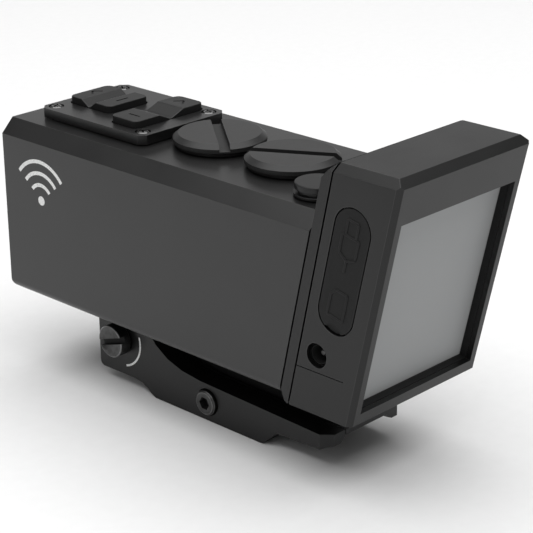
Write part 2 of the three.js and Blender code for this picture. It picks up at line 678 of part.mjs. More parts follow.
function addMount() {
  const { half, rear, split, channelTop, foot } = mount;
  const cornerCut = 2.8;
  const plan = alongZ(
    outline([
      [-half, 40],
      [-half, rear + cornerCut],
      [-half + cornerCut, rear],
      [half - cornerCut, rear],
      [half, rear + cornerCut],
      [half, 40],
    ]),
    -40,
    10,
  );
  const screwHole = barX(clampScrew.y, clampScrew.z, clampScrew.shank + 0.4, -20, 12.6, 20);
  const crossHole = barX(crossScrew.y, crossScrew.z, crossScrew.shank + 0.4, -20, 12.8, 20);

  const blockTop = [[half + 1, foot - 1], [half + 1, 0], [split + gap, 0], [split + gap, channelTop]];
  const hook = outline([...hookProfile, ...blockTop]);
  const side = alongX(mountOutline(), split + gap, half, 4);
  const spine = box(-7, 7, -52, 8, channelTop + 1, mount.top);
  const screws = mountScrewsY.flatMap((y) => [
    barZ(0, y, 2.4, channelTop - 1, 0, 16),
    barZ(0, y, 4, channelTop - 1, channelTop + 3, 24),
  ]);
  const base = join(common(side, plan, alongY(hook, -80, 40)), spine);
  // A relief across the channel's roof keeps a rail clear of the cross screw.
  const relief = box(-9, 8.4, crossScrew.y - 2.6, crossScrew.y + 2.6, channelTop - 1, channelTop + 0.6);
  add("mount_base", cut(base, ...screws, screwHole, crossHole, relief), finishes.anodised);

  const mirrored = hookProfile.map(([x, z]) => [-x, z]).reverse();
  const jawSection = outline([...mirrored, [split, 0], [-half - 1, 0], [-half - 1, foot - 1]].reverse());
  const jaw = common(alongX(mountOutline(), -half, split, 4), plan, alongY(jawSection, -80, 40));
  const counterbore = barX(crossScrew.y, crossScrew.z, crossScrew.headRadius + 0.35, -20, -half + 2.2, 28);
  add("clamp_jaw", cut(jaw, screwHole, crossHole, counterbore), finishes.anodised);

  const headBase = -half - gap;
  const headTop = headBase - clampScrew.headHeight;
  const slotHalf = clampScrew.slotWidth / 2;
  const slot = box(headTop - 1, headTop + 1.6, -8, 8, -slotHalf, slotHalf);
  slot.rotateX(THREE.MathUtils.degToRad(-18)).translate(0, clampScrew.y, clampScrew.z);
  const clampBody = join(
    barX(clampScrew.y, clampScrew.z, clampScrew.headRadius, headTop, headBase, 32),
    barX(clampScrew.y, clampScrew.z, clampScrew.shank, headBase - 0.5, 11, 20),
  );
  add("clamp_screw", cut(clampBody, slot), finishes.steel);

  const crossHead = -half - crossScrew.proud;
  const crossBody = join(
    barX(crossScrew.y, crossScrew.z, crossScrew.headRadius, crossHead, crossHead + crossScrew.headHeight, 28),
    barX(crossScrew.y, crossScrew.z, crossScrew.shank, crossHead + 3, 12, 20),
  );
  const socket = barX(crossScrew.y, crossScrew.z, 1.73, crossHead - 1, crossHead + 2, 6);
  add("cross_screw", cut(crossBody, socket), finishes.steel);

  mountScrewsY.forEach((y, index) => {
    const screw = join(
      barZ(0, y, 3.6, channelTop + 0.15, channelTop + 3 - gap, 24),
      barZ(0, y, 2, channelTop + 2, 4.2, 16),
    );
    add("mount_screw_" + (index + 1), cut(screw, barZ(0, y, 1.5, channelTop, channelTop + 1.6, 6)), finishes.steel);
  });
}

addHousing();
addFront();
batteryWells.forEach(addBatteryWell);
addKeypad();
addPowerButton();
addElectronics();
addFlange();
addHead();
addDisplayStack();
addPorts();
addMount();

// Stand the unit on its clamp feet, with the origin under the middle of its box.
const rearmost = leaned(head.rear, head.top - head.topDrop);
unit.position.set(0, -(housing.front + rearmost) / 2, -mount.foot);

export default unit;
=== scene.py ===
"""How the rail-mounted speed radar looks: its pieces' edges, marks and finishes, and a plain studio.

Pieces are drawn in millimetres at the bench: x to the unit's right, y towards the measured vehicle, z up, with
the housing's underside at HOUSING_BOTTOM. hand_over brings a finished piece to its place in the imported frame.
Pieces given DISPLAY as their place are drawn upright, with y as the depth in front of the display's rear face,
and then leaned back.
"""
import math

import bpy
from mathutils import Matrix, Vector


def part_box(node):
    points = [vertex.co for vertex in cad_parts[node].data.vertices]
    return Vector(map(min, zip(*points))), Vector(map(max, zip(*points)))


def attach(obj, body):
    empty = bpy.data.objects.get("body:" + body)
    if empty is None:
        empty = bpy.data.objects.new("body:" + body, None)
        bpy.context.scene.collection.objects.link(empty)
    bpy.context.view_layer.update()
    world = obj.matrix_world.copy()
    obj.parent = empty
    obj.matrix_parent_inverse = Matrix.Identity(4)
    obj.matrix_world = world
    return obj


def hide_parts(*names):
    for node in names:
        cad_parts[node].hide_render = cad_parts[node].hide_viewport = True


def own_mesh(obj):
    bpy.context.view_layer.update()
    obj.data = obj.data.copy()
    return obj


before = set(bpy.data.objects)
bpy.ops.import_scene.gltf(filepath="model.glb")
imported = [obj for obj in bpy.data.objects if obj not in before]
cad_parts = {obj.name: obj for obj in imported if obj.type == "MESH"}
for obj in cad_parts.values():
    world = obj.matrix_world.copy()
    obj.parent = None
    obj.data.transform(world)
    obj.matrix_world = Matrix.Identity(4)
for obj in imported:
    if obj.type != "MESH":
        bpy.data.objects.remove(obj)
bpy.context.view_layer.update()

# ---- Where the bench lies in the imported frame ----
housing_low, housing_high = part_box("housing")
HOUSING_FRONT = 49.4
HOUSING_BOTTOM = -1.6
HOUSING_TOP = 49
BENCH_PLACE = (0, housing_high.y - HOUSING_FRONT / 1000, housing_low.z - HOUSING_BOTTOM / 1000)
BENCH = Matrix.Translation(BENCH_PLACE) @ Matrix.Scale(0.001, 4)
LEAN = math.radians(12.9)
LEAN_SLOPE = math.tan(LEAN)
LEAN_FORWARD = Vector((0, math.cos(LEAN), math.sin(LEAN)))
DISPLAY_REAR = -82.3
DISPLAY = Matrix.Translation((0, DISPLAY_REAR, 0)) @ Matrix.Rotation(LEAN, 4, "X")
UPRIGHT = Matrix.Identity(4)

# ---- Sizes that several pieces share ----
HALF = 25  # half the unit's width
GAP = 0.3  # between two pieces that touch on the real unit
SEAT = HOUSING_TOP + GAP  # underside of the pieces that stand on the housing
FRONT_SCREWS = ((-19.4, 6), (19.4, 6), (-18, 42), (18, 42))
LENS_HEIGHT = 36.8
CAP_RADIUS = 12.7
CAP_UNDER = 50.4
CAP_BEVEL_FOOT = 51.5
CAP_TOP = 52.7
SLOT_FLOOR = 50.85
WELLS = {"front": (-12.7, 51), "rear": (-39.45, -60)}  # place along the unit, and the coin slot's angle
BUTTON = (-12.7, -59.8)
BUTTON_RADIUS = 5.9
BUTTON_TOP = 52.75
KEY_UNDER = 49.65
KEY_TOP = 53.95
VALLEY_DEPTH = 1.75
KEYPAD_SCREWS = [(-12.4, 4.3), (12.4, 4.3), (-12.4, 40.2), (12.4, 40.2)]
CLAMP_SCREW = (-15.2, 13.7, -10.4)
CROSS_SCREW = (-15.2, -21.3, -19.2)
FLANGE_FRONT = -58.35
HEAD_FRONT = -61.85
HEAD_LOW, HEAD_HIGH = -3.34, 63.66
CORNER_HEIGHT = 61.56  # where the chamfers of the head and flange start
PANEL_TOP = 57.3
JACK = (14.38, 9.94)  # depth and height on the display
PORTS = {"centre": 11.2, "low": 24.05, "high": 47.06, "radius": 5.5}


# ---- Finishes ----
class Wire:
    """A value on its way between nodes. Sums on it add Math nodes."""

    def __init__(self, finish, socket):
        self.finish = finish
        self.socket = socket

    def _sum(self, operation, first, second):
        return self.finish.node("ShaderNodeMath", {"operation": operation}, {0: first, 1: second})

    def __add__(self, other):
        return self._sum("ADD", self, other)

    __radd__ = __add__

    def __sub__(self, other):
        return self._sum("SUBTRACT", self, other)

    def __rsub__(self, other):
        return self._sum("SUBTRACT", other, self)

    def __mul__(self, other):
        return self._sum("MULTIPLY", self, other)

    __rmul__ = __mul__


class Finish:
    """One material, built around its Principled shader."""

    def __init__(self, name):
        self.material = bpy.data.materials.new(name)
        self.material.use_nodes = True
        self.tree = self.material.node_tree
        self.shader = self.tree.nodes["Principled BSDF"]

    def fill(self, node, sockets):
        """Links or sets a node's sockets, by name or number."""
        for name, value in sockets.items():
            if isinstance(name, int):
                socket = node.inputs[name]
            else:
                socket = next(s for s in node.inputs if s.name == name and s.enabled)
            if isinstance(value, Wire):
                self.tree.links.new(value.socket, socket)
            elif socket.type == "RGBA":
                socket.default_value = (*value, 1)
            else:
                socket.default_value = value

    def node(self, kind, settings=None, sockets=None, out=None):
        """Adds a node: its settings first, then the values or links of its sockets."""
        made = self.tree.nodes.new(kind)
        for name, value in (settings or {}).items():
            setattr(made, name, value)
        self.fill(made, sockets or {})
        outputs = [s for s in made.outputs if s.enabled and (out is None or s.name == out)]
        return Wire(self, outputs[0])

    def surface(self, **sockets):
        """Sets the shader's own sockets; Base_Color stands for Base Color."""
        self.fill(self.shader, {name.replace("_", " "): value for name, value in sockets.items()})
        return self.material

    def place(self, scale=(1, 1, 1)):
        """Object coordinates, stretched along an axis where the scale is over 1."""
        coordinates = self.node("ShaderNodeTexCoord", out="Object")
        sockets = {"Vector": coordinates, "Scale": scale}
        return self.node("ShaderNodeMapping", {"vector_type": "TEXTURE"}, sockets)

    def clouds(self, size, detail=2, stretch=(1, 1, 1)):
        """Noise of about this size in metres, from 0 to 1."""
        sockets = {"Vector": self.place(stretch), "Scale": 1 / size, "Detail": detail, "Roughness": 0.55}
        return self.node("ShaderNodeTexNoise", None, sockets)

    def spread(self, value, low, high, start, end):
        """Maps low..high of a value onto start..end, held at both ends."""
        sockets = {"Value": value, "From Min": low, "From Max": high, "To Min": start, "To Max": end}
        return self.node("ShaderNodeMapRange", {"clamp": True}, sockets)

    def mix(self, share, first, second):
        """A colour between two colours."""
        return self.node("ShaderNodeMix", {"data_type": "RGBA"}, {"Factor": share, "A": first, "B": second})

    def bump(self, height, depth, strength):
        """A relief of this depth in metres, faded by the strength."""
        return self.node("ShaderNodeBump", None, {"Height": height, "Distance": depth, "Strength": strength})


def grey(level, warmth=0.0):
    """A near-neutral colour; warmth above 0 leans to red, below 0 to blue."""
    return (level * (1 + warmth), level, level * (1 - warmth))


def anodised(name, level, roughness, grain=1.0, specular=0.6):
    """Bead-blasted black anodising: a fine even grain, and faint clouds from handling."""
    finish = Finish(name)
    grain_height = finish.clouds(0.00016, detail=3)
    handling = finish.clouds(0.014, detail=3)
    speckle = finish.clouds(0.0004, detail=1)
    dull, bright = grey(level * 0.93), grey(level * 1.05, 0.004)
    shade = finish.mix(finish.spread(handling, 0.35, 0.65, 0, 1), dull, bright)
    shade = finish.mix(finish.spread(speckle, 0.62, 0.8, 0, 0.5), shade, grey(level * 1.5))
    gloss = finish.spread(handling, 0.3, 0.7, roughness - 0.025, roughness + 0.025)
    gloss = gloss + (grain_height - 0.5) * 0.1
    return finish.surface(
        Base_Color=shade,
        Roughness=gloss,
        Normal=finish.bump(grain_height, 0.000012 * grain, 0.5),
        Specular_IOR_Level=specular,
    )


def worn_and_highlit_edge(name, level, roughness):
    """A machined edge strip, lighter than the face beside it as a painted highlight, where the anodising is also
    thinner and worn a little smoother and lighter in places.
    """
    finish = Finish(name)
    edge_wear_and_highlight = finish.spread(finish.clouds(0.006, detail=4), 0.42, 0.68, 0, 1)
    shade = finish.mix(edge_wear_and_highlight, grey(level), grey(level * 1.6, 0.01))
    return finish.surface(Base_Color=shade, Roughness=roughness - edge_wear_and_highlight * 0.08, Specular_IOR_Level=0.6)


def moulded(name, level, roughness, grain_size=0.0005, depth=0.00002):
    """Moulded rubber or plastic with a fine spark-eroded texture."""
    finish = Finish(name)
    texture = finish.clouds(grain_size, detail=2)
    dust = finish.spread(finish.clouds(0.004, detail=5), 0.5, 0.78, 0, 0.35)
    return finish.surface(
        Base_Color=finish.mix(dust, grey(level), grey(level * 1.7, 0.03)),
        Roughness=roughness + (texture - 0.5) * 0.12,
        Normal=finish.bump(texture, depth, 0.7),
        Specular_IOR_Level=0.28,
    )


def turned_steel(name, level, roughness, darkness=0.0):
    """Turned steel with fine tool marks and a few dull patches."""
    finish = Finish(name)
    marks = finish.clouds(0.00025, detail=2, stretch=(6, 1, 1))
    patches = finish.spread(finish.clouds(0.0015, detail=4), 0.45, 0.7, 0, 1)
    shade = finish.mix(patches, grey(level), grey(level * (1 - darkness), 0.02))
    return finish.surface(
        Base_Color=shade,
        Metallic=1.0,
        Roughness=roughness + patches * 0.12,
        Normal=finish.bump(marks, 0.000008, 0.4),
    )


def green_board():
    """Solder mask with copper tracks under it."""
    finish = Finish("green solder mask")
    wave = finish.node(
        "ShaderNodeTexWave",
        {"wave_type": "BANDS", "bands_direction": "Z"},
        {"Vector": finish.place(), "Scale": 260, "Distortion": 6, "Detail": 1},
    )
    tracks = finish.spread(wave, 0.62, 0.7, 0, 1)
    shade = finish.mix(tracks, (0.012, 0.085, 0.03), (0.02, 0.15, 0.05))
    return finish.surface(Base_Color=shade, Roughness=0.35, Normal=finish.bump(tracks, 0.00003, 0.5))


def screen():
    """An unlit pale grey screen behind its cover: very fine rows under an even haze, with a faint glow of painted
    light that evens its brightness.
    """
    finish = Finish("pale unlit screen with painted glow")
    haze = finish.clouds(0.03, detail=2)
    rows = finish.node(
        "ShaderNodeTexWave",
        {"wave_type": "BANDS", "bands_direction": "X"},
        {"Vector": finish.place(), "Scale": 1500, "Distortion": 0, "Detail": 0},
    )
    shade = finish.mix(finish.spread(haze, 0.3, 0.7, 0, 1), (0.2, 0.206, 0.208), (0.215, 0.219, 0.221))
    shade = finish.mix(rows * 0.06, shade, (0.16, 0.16, 0.165))
    return finish.surface(
        Base_Color=shade,
        Roughness=finish.spread(haze, 0.3, 0.7, 0.5, 0.56),
        Specular_IOR_Level=0.25,
        # Painted light: a faint glow, though the screen is unlit.
        Emission_Color=(0.078, 0.079, 0.079),
        Emission_Strength=1.0,
    )


def lens_glass():
    """Dark coated lens glass with faint wipe marks."""
    finish = Finish("coated lens glass")
    wipes = finish.clouds(0.003, detail=3, stretch=(5, 1, 1))
    shade = finish.mix(wipes, (0.008, 0.01, 0.016), (0.012, 0.016, 0.03))
    gloss = finish.spread(wipes, 0.4, 0.7, 0.03, 0.09)
    return finish.surface(Base_Color=shade, Roughness=gloss, Coat_Weight=0.8)


def white_print():
    """Pad-printed white ink, a little uneven over the grain below it."""
    finish = Finish("white printed ink")
    cover = finish.clouds(0.0003, detail=3)
    return finish.surface(
        Base_Color=finish.mix(finish.spread(cover, 0.3, 0.5, 0, 1), (0.5, 0.5, 0.5), (0.82, 0.82, 0.81)),
        Roughness=finish.spread(cover, 0.3, 0.7, 0.4, 0.55),
    )


def battery_wrap():
    """Plain shrink sleeve with faint shrink wrinkles."""
    finish = Finish("battery shrink sleeve")
    wrinkles = finish.clouds(0.002, detail=3, stretch=(1, 1, 5))
    return finish.surface(
        Base_Color=finish.mix(wrinkles, (0.48, 0.5, 0.53), (0.58, 0.6, 0.62)),
        Roughness=finish.spread(wrinkles, 0.3, 0.7, 0.25, 0.4),
        Normal=finish.bump(wrinkles, 0.00005, 0.4),
    )


# The *_EDGE finishes colour the eased edge strips lighter than the faces they border: a painted highlight, on the
# anodised and steel ones also wear.
BODY = anodised("black anodised body", 0.0075, 0.33, specular=0.54)
BODY_EDGE = worn_and_highlit_edge("worn anodised edge with painted highlight", 0.014, 0.36)
HOOD = anodised("black anodised hood", 0.0045, 0.35, specular=0.37)
HOOD_EDGE = worn_and_highlit_edge("worn hood edge with painted highlight", 0.009, 0.36)
TRIM = anodised("black anodised trim", 0.009, 0.34, grain=0.8, specular=0.5)
TRIM_EDGE = worn_and_highlit_edge("worn trim edge with painted highlight", 0.014, 0.34)
CAP = anodised("black anodised caps", 0.017, 0.42, specular=0.38)
KEY = anodised("matt black keys", 0.023, 0.5, grain=0.6, specular=0.2)
# Near-black: painted shade in sunk marks, screw recesses, the clamp screw's slot and the mount rib's face, and the
# screen mask's own black.
SHADE_AND_MASK_BLACK = moulded("matt black painted shade and mask", 0.006, 0.7)
PORT_RUBBER = moulded("port rubber", 0.005, 0.6, 0.0006, 0.00003)
PORT_RUBBER_EDGE = moulded("port rubber rim", 0.009, 0.5, 0.0006, 0.00002)
SEAL_RUBBER = moulded("seal rubber", 0.012, 0.65)
PLASTIC = moulded("matt black plastic", 0.018, 0.5)
PLASTIC_EDGE = moulded("black plastic edge", 0.026, 0.42, 0.0008, 0.00001)
BLACK_STEEL = turned_steel("black phosphated steel", 0.085, 0.38, darkness=0.35)
BLACK_STEEL_EDGE = turned_steel("steel edge with wear and painted highlight", 0.2, 0.32, darkness=0.3)
SCREW_STEEL = turned_steel("dull screw steel", 0.16, 0.26, darkness=0.3)
BRIGHT_STEEL = turned_steel("bright zinc-plated steel", 0.72, 0.24, darkness=0.2)
SCREEN = screen()
LENS = lens_glass()
BOARD = green_board()
SLEEVE = battery_wrap()
PRINT = white_print()


# ---- Which faces or edges are wanted, by middle and by normal or direction ----
def anywhere(middle, facing):
    return True


def along_x(middle, facing):
    return abs(facing.x) > 0.9


def along_y(middle, facing):
    return abs(facing.y) > 0.9


def along_z(middle, facing):
    return abs(facing.z) > 0.9


def upright_wall(middle, facing):
    return abs(facing.z) < 0.3


# ---- The bench: shaping tools ----
def alone(piece):
    """Selects this piece only, in object mode."""
    if bpy.context.object and bpy.context.object.mode != "OBJECT":
        bpy.ops.object.mode_set(mode="OBJECT")
    bpy.ops.object.select_all(action="DESELECT")
    piece.select_set(True)
    bpy.context.view_layer.objects.active = piece


def start(name, place=UPRIGHT):
    """Names the primitive that was just added, and puts it where its drawing frame lies."""
    piece = bpy.context.object
    piece.name = piece.data.name = name
    alone(piece)
    bpy.ops.object.transform_apply(location=True, rotation=True, scale=True)
    piece.data.transform(place)
    return piece


def block(name, low, high, place=UPRIGHT):
    """A block between two corners."""
    bpy.ops.object.select_all(action="DESELECT")
    middle = [(a + b) / 2 for a, b in zip(low, high)]
    bpy.ops.mesh.primitive_cube_add(size=1, location=middle, scale=[b - a for a, b in zip(low, high)])
    return start(name, place)


def pick(piece, kind, wanted):
    """Enters edit mode with the wanted faces or edges selected; wanted gets each one's middle, and its normal
    or direction."""
    alone(piece)
    mesh = piece.data
    for part in (*mesh.vertices, *mesh.edges, *mesh.polygons):
        part.select = False
    if kind == "FACE":
        for face in mesh.polygons:
            face.select = wanted(face.center, face.normal)
    else:
        for edge in mesh.edges:
            first, second = (mesh.vertices[i].co for i in edge.vertices)
            edge.select = wanted((first + second) / 2, (second - first).normalized())
            if edge.select:
                for index in edge.vertices:
                    mesh.vertices[index].select = True
    bpy.ops.object.mode_set(mode="EDIT")
    bpy.ops.mesh.select_mode(type=kind)


def pick_all(piece):
    """Enters edit mode with every face selected."""
    pick(piece, "FACE", anywhere)
    bpy.ops.mesh.select_all(action="SELECT")


def edit_all():
    """Enters edit mode on the active piece with all of it selected."""
    bpy.ops.object.mode_set(mode="EDIT")
    bpy.ops.mesh.select_all(action="SELECT")


def done():
    """Back to object mode."""
    bpy.ops.object.mode_set(mode="OBJECT")


def round_edges(piece, wanted, width, segments):
    """Rounds, or with one segment chamfers, the wanted edges."""
    pick(piece, "EDGE", wanted)
    bpy.ops.mesh.bevel(offset=width, offset_type="OFFSET", segments=segments, affect="EDGES")
    done()


def slice_off(piece, point, normal):
    """Cuts the piece by a plane and throws away the side that the normal points to."""
    pick_all(piece)
    bpy.ops.mesh.bisect(plane_co=point, plane_no=normal, use_fill=True, clear_outer=True)
    bpy.ops.mesh.select_all(action="SELECT")
    bpy.ops.mesh.normals_make_consistent(inside=False)
    done()


def score(piece, point, normal):
    """Draws a line round a piece where a plane meets it."""
    pick_all(piece)
    bpy.ops.mesh.bisect(plane_co=point, plane_no=normal)
    done()


def inset(piece, wanted, thickness, depth):
    """Insets the wanted faces and pushes them in along their normals by depth, or out if it is negative."""
    pick(piece, "FACE", wanted)
    bpy.ops.mesh.inset(thickness=thickness, depth=0)
    facing = next(face.normal.copy() for face in piece.data.polygons if wanted(face.center, face.normal))
    bpy.ops.mesh.extrude_region_move(TRANSFORM_OT_translate={"value": -depth * facing})
    done()


def turned(name, profile, centre=(0, 0, 0), axis="Z", sides=64, hollow=False):
    """A turned piece: a circle is drawn up through each (radius, height) of the profile, in order."""
    bpy.ops.object.select_all(action="DESELECT")
    radius, height = profile[0]
    bpy.ops.mesh.primitive_circle_add(
        vertices=sides, radius=radius, fill_type="NOTHING" if hollow else "NGON", location=(0, 0, height)
    )
    bpy.ops.object.transform_apply(location=True, rotation=False, scale=False)
    piece = bpy.context.object
    edit_all()
    for radius_next, height_next in profile[1:]:
        extrude = bpy.ops.mesh.extrude_edges_move if hollow else bpy.ops.mesh.extrude_region_move
        extrude(TRANSFORM_OT_translate={"value": (0, 0, height_next - height)})
        growth = radius_next / radius
        bpy.ops.transform.resize(value=(growth, growth, 1), center_override=(0, 0, height_next))
        radius, height = radius_next, height_next
    bpy.ops.mesh.select_all(action="SELECT")
    bpy.ops.mesh.remove_doubles(threshold=0.001)
    bpy.ops.mesh.normals_make_consistent(inside=False)
    done()
    turn = {"X": Matrix.Rotation(math.radians(-90), 4, "Y"), "Y": Matrix.Rotation(math.radians(-90), 4, "X")}
    piece.data.transform(Matrix.Translation(centre) @ turn.get(axis, UPRIGHT))
    piece.name = piece.data.name = name
    return piece


def bar(name, start_point, end_point, width, height, place=UPRIGHT):
    """A bar between two points, its height along the drawing's Z or, for an upright bar, along Y."""
    first, second = Vector(start_point), Vector(end_point)
    along = second - first
    across = along.normalized()
    up = Vector((0, 0, 1)) if abs(across.z) < 0.9 else Vector((0, 1, 0))
    side = up.cross(across).normalized()
    up = across.cross(side)
    turn = Matrix((across, side, up)).transposed().to_4x4()
    bpy.ops.object.select_all(action="DESELECT")
    bpy.ops.mesh.primitive_cube_add(size=1, scale=(along.length, width, height))
    return start(name, place @ Matrix.Translation((first + second) / 2) @ turn)


def fuse(first, *others):
    """Makes one object of several, without joining their skins."""
    alone(first)
    for other in others:
        other.select_set(True)
    bpy.ops.object.join()
    return first


def apply_modifier(piece, kind, **settings):
    """Adds one modifier and makes it part of the mesh."""
    alone(piece)
    modifier = piece.modifiers.new(kind.lower(), kind)
    for name, value in settings.items():
        setattr(modifier, name, value)
    bpy.ops.object.modifier_apply(modifier=modifier.name)


def carve(piece, *cutters):
    """Cuts other shapes out of a piece and uses them up. A cutter's finish stays on its cut."""
    for cutter in cutters:
        apply_modifier(
            piece, "BOOLEAN", operation="DIFFERENCE", object=cutter, solver="EXACT", material_mode="TRANSFER"
        )
        bpy.data.objects.remove(cutter)
    pick_all(piece)
    bpy.ops.mesh.remove_doubles(threshold=0.002)
    bpy.ops.mesh.dissolve_limited(angle_limit=math.radians(0.4))
    done()


def ease(piece, width=0.25, segments=3, angle=30):
    """Eases every sharp edge; the new strips take the piece's second finish.

    Blender narrows the strips where edges lie close together. On the carved battery caps the narrowed width is not
    the same in every run.
    """
    apply_modifier(
        piece,
        "BEVEL",
        width=width,
        segments=segments,
        limit_method="ANGLE",
        angle_limit=math.radians(angle),
        harden_normals=True,
        use_clamp_overlap=True,
        material=1,
    )


def paint(piece, finish, edge=None):
    """Gives a piece its finish, and the finish that its eased edges take."""
    piece.data.materials.clear()
    piece.data.materials.append(finish)
    piece.data.materials.append(edge or finish)


def paint_where(piece, finish, wanted):
    """Gives another finish to the faces that are wanted by their middle and normal."""
    piece.data.materials.append(finish)
    for face in piece.data.polygons:
        if wanted(face.center, face.normal):
            face.material_index = len(piece.data.materials) - 1


def hand_over(piece, body, slot, *nodes):
    """Brings a finished piece from the bench to its place on the radar."""
    alone(piece)
    bpy.ops.object.shade_smooth_by_angle(angle=math.radians(35))
    apply_modifier(piece, "WEIGHTED_NORMAL", keep_sharp=True)
    piece.data.transform(BENCH)
    piece.data.update()
    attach(piece, body)
    if nodes:
        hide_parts(*nodes)


def copy_of(node, name):
    """A clean bench copy of a CAD piece, for easing its edges."""
    piece = bpy.data.objects.new(name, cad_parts[node].data.copy())
    piece.data.name = name
    bpy.context.scene.collection.objects.link(piece)
    piece.data.transform(BENCH.inverted())
    alone(piece)
    bpy.ops.mesh.customdata_custom_splitnormals_clear()
    edit_all()
    bpy.ops.mesh.remove_doubles(threshold=0.003)
    bpy.ops.mesh.dissolve_limited(angle_limit=math.radians(0.5))
    done()
    return piece


def leaned(y, height):
    """Where a leaning plane that crosses height zero at y stands at this height."""
    return y - LEAN_SLOPE * height


def leaning_block(name, front, rear, low, high, left=-HALF, right=HALF):
    """A block between two planes parallel to the display, given where they cross height zero."""
    piece = block(name, (left, -120, low), (right, 20, high))
    slice_off(piece, (0, front, 0), LEAN_FORWARD)
    slice_off(piece, (0, rear, 0), -LEAN_FORWARD)
    return piece


# ---- The camera ----
CAMERA_PLACE = (-0.32743, -0.32358, 0.22240)  # metres
CAMERA_TURN = (45.877, 21.462, -0.592)  # yaw, downward pitch and roll in degrees
CAMERA_LENS = 123.44


def add_camera():
    yaw, pitch, roll = (math.radians(angle) for angle in CAMERA_TURN)
    forward = Vector((math.sin(yaw) * math.cos(pitch), math.cos(yaw) * math.cos(pitch), -math.sin(pitch)))
    right = Vector((math.cos(yaw), -math.sin(yaw), 0))
    up = right.cross(forward)
    rolled_right = math.cos(roll) * right + math.sin(roll) * up
    rolled_up = -math.sin(roll) * right + math.cos(roll) * up
    bpy.ops.object.camera_add(location=CAMERA_PLACE)
    camera = bpy.context.object
    camera.rotation_mode = "QUATERNION"
    camera.rotation_quaternion = Matrix((rolled_right, rolled_up, -forward)).transposed().to_quaternion()
    camera.data.lens = CAMERA_LENS
    camera.data.sensor_width = 36
    camera.data.clip_start = 0.01
    bpy.context.scene.camera = camera


add_camera()


# ---- The housing and its front ----
def section_block(name, half, low, high, rear, front, radius, chamfer):
    """A long block, rounded along its lower edges and chamfered along its upper ones."""
    piece = block(name, (-half, rear, low), (half, front, high))
    middle = (low + high) / 2

    def lower(at, facing):
        return along_y(at, facing) and at.z < middle

    def upper(at, facing):
        return along_y(at, facing) and at.z > middle and abs(at.x) > half - 0.1

    round_edges(piece, lower, radius, 6)
    round_edges(piece, upper, chamfer, 1)
    return piece


def add_housing():
    housing = section_block("housing_shell", HALF, HOUSING_BOTTOM, HOUSING_TOP, -90, HOUSING_FRONT, 2.6, 4)
    slice_off(housing, (0, -57.85, 0), -LEAN_FORWARD)
    inside = section_block("inside", 22.5, 2.5, 46.5, -100, 44.1, 1.5, 3)
    front_pocket = section_block("front pocket", 22.5, 2.5, 46.5, 44.3, 60, 1.5, 3)
    wells = [turned("well", [(11, 40), (11, 52)], (0, y, 0)) for y, _ in WELLS.values()]
    stem = turned("stem hole", [(2.6, 44), (2.6, 52)], (*BUTTON, 0), sides=32)
    front_window = block("window", (-8, 22.75, 45), (8, 40.8, 52))
    rear_window = block("window", (-13.7, 6.8, 45), (14, 17.9, 52))
    carve(housing, inside, front_pocket, *wells, stem, front_window, rear_window)
    paint(housing, BODY, BODY_EDGE)
    ease(housing, 0.3)
    hand_over(housing, "unit", "anodised_body", "housing")


def add_front():
    cover = section_block("front_cover_plate", 22.2, 2.8, 46.2, 45.4, 48.4, 1.3, 2.8)
    pocket = block("pocket", (-16.5, 44, 7), (16.5, 60, 26.5))
    round_edges(pocket, along_y, 2, 5)
    lens_at = (0, 0, LENS_HEIGHT)
    lens_hole = turned("lens hole", [(7.3, 44), (7.3, 60)], lens_at, "Y")
    dish = turned("dish", [(8, 46.6), (8, 47.6), (10.5, 60)], lens_at, "Y")
    sinks = [turned("sink", [(1.9, 47.1), (1.9, 60)], (x, 0, z), "Y", 32) for x, z in FRONT_SCREWS]
    carve(cover, pocket, lens_hole, dish, *sinks)
    paint(cover, TRIM, TRIM_EDGE)
    ease(cover, 0.25)
    hand_over(cover, "unit", "anodised_trim", "front_cover")

    radome = block("radome_panel", (-16.2, 45.6, 7.3), (16.2, 47.9, 26.2))
    round_edges(radome, along_y, 1.7, 5)
    inset(radome, lambda at, facing: facing.y > 0.9, 1.1, -0.35)
    paint(radome, PLASTIC, PLASTIC_EDGE)
    ease(radome, 0.3)
    hand_over(radome, "unit", "black_plastic", "radome")

    dome = [(7.6, 46.95), (7.6, 47.6), (6.9, 48), (4, 48.25), (1.5, 48.32)]
    glass = turned("camera_front_glass", dome, lens_at, "Y")
    paint(glass, LENS)
    ease(glass, 0.1, 2)
    hand_over(glass, "unit", "display_glass", "camera_window")

    for number, (x, z) in enumerate(FRONT_SCREWS, 1):
        profile = [(1.6, 47.15), (1.6, 47.8), (1.1, 48.1)]
        screw = turned("front_cover_screw_%d" % number, profile, (x, 0, z), "Y", 32)
        socket = turned("socket", [(0.75, 47.5), (0.75, 49)], (x, 0, z), "Y", 6)
        carve(screw, socket)
        paint(screw, BLACK_STEEL, BLACK_STEEL_EDGE)
        ease(screw, 0.07, 2)
        hand_over(screw, "unit", "black_screw_steel")


